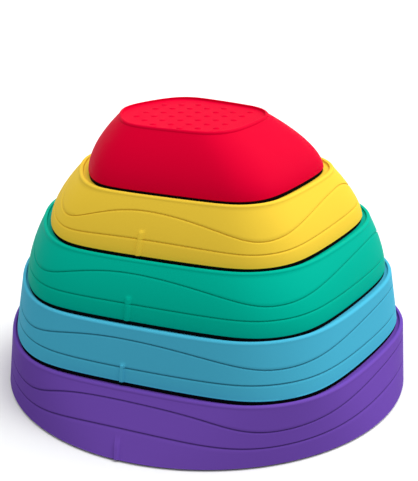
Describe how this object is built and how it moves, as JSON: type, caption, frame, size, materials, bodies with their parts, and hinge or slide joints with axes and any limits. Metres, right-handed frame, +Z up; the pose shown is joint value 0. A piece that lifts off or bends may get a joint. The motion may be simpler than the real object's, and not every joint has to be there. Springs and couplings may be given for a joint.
{
  "type": "balance stepping stone stack",
  "caption": "Nesting stack of pebble-shaped balance stepping stones for children, each a hollow moulded shell with a wavy engraved wall on a rubber foot ring.",
  "frame": {"origin": "middle of the bounding box on the ground under the lowest stone's foot ring", "axes": "+Z up through the stack, +X to the right and +Y away as the stack is seen in the picture"},
  "size_m": [0.3599, 0.3587, 0.2399],
  "materials": {
    "purple_plastic": "satin moulded",
    "blue_plastic": "satin moulded",
    "green_plastic": "satin moulded",
    "yellow_plastic": "satin moulded",
    "red_plastic": "satin moulded",
    "rubber": "matte moulded"
  },
  "bodies": {
    "purple_stone": {"purple_shell": "purple_plastic", "purple_foot_ring": "rubber"},
    "blue_stone": {"blue_shell": "blue_plastic", "blue_foot_ring": "rubber"},
    "green_stone": {"green_shell": "green_plastic", "green_foot_ring": "rubber"},
    "yellow_stone": {"yellow_shell": "yellow_plastic", "yellow_foot_ring": "rubber"},
    "red_stone": {"red_shell": "red_plastic", "red_foot_ring": "rubber"}
  },
  "joints": [
    {"name": "blue_lift", "type": "slide", "parent": "purple_stone", "child": "blue_stone", "axis": [0, 0, 1], "range_m": [0, 0.15]},
    {"name": "green_lift", "type": "slide", "parent": "blue_stone", "child": "green_stone", "axis": [0, 0, 1], "range_m": [0, 0.15]},
    {"name": "yellow_lift", "type": "slide", "parent": "green_stone", "child": "yellow_stone", "axis": [0, 0, 1], "range_m": [0, 0.15]},
    {"name": "red_lift", "type": "slide", "parent": "yellow_stone", "child": "red_stone", "axis": [0, 0, 1], "range_m": [0, 0.15]}
  ]
}
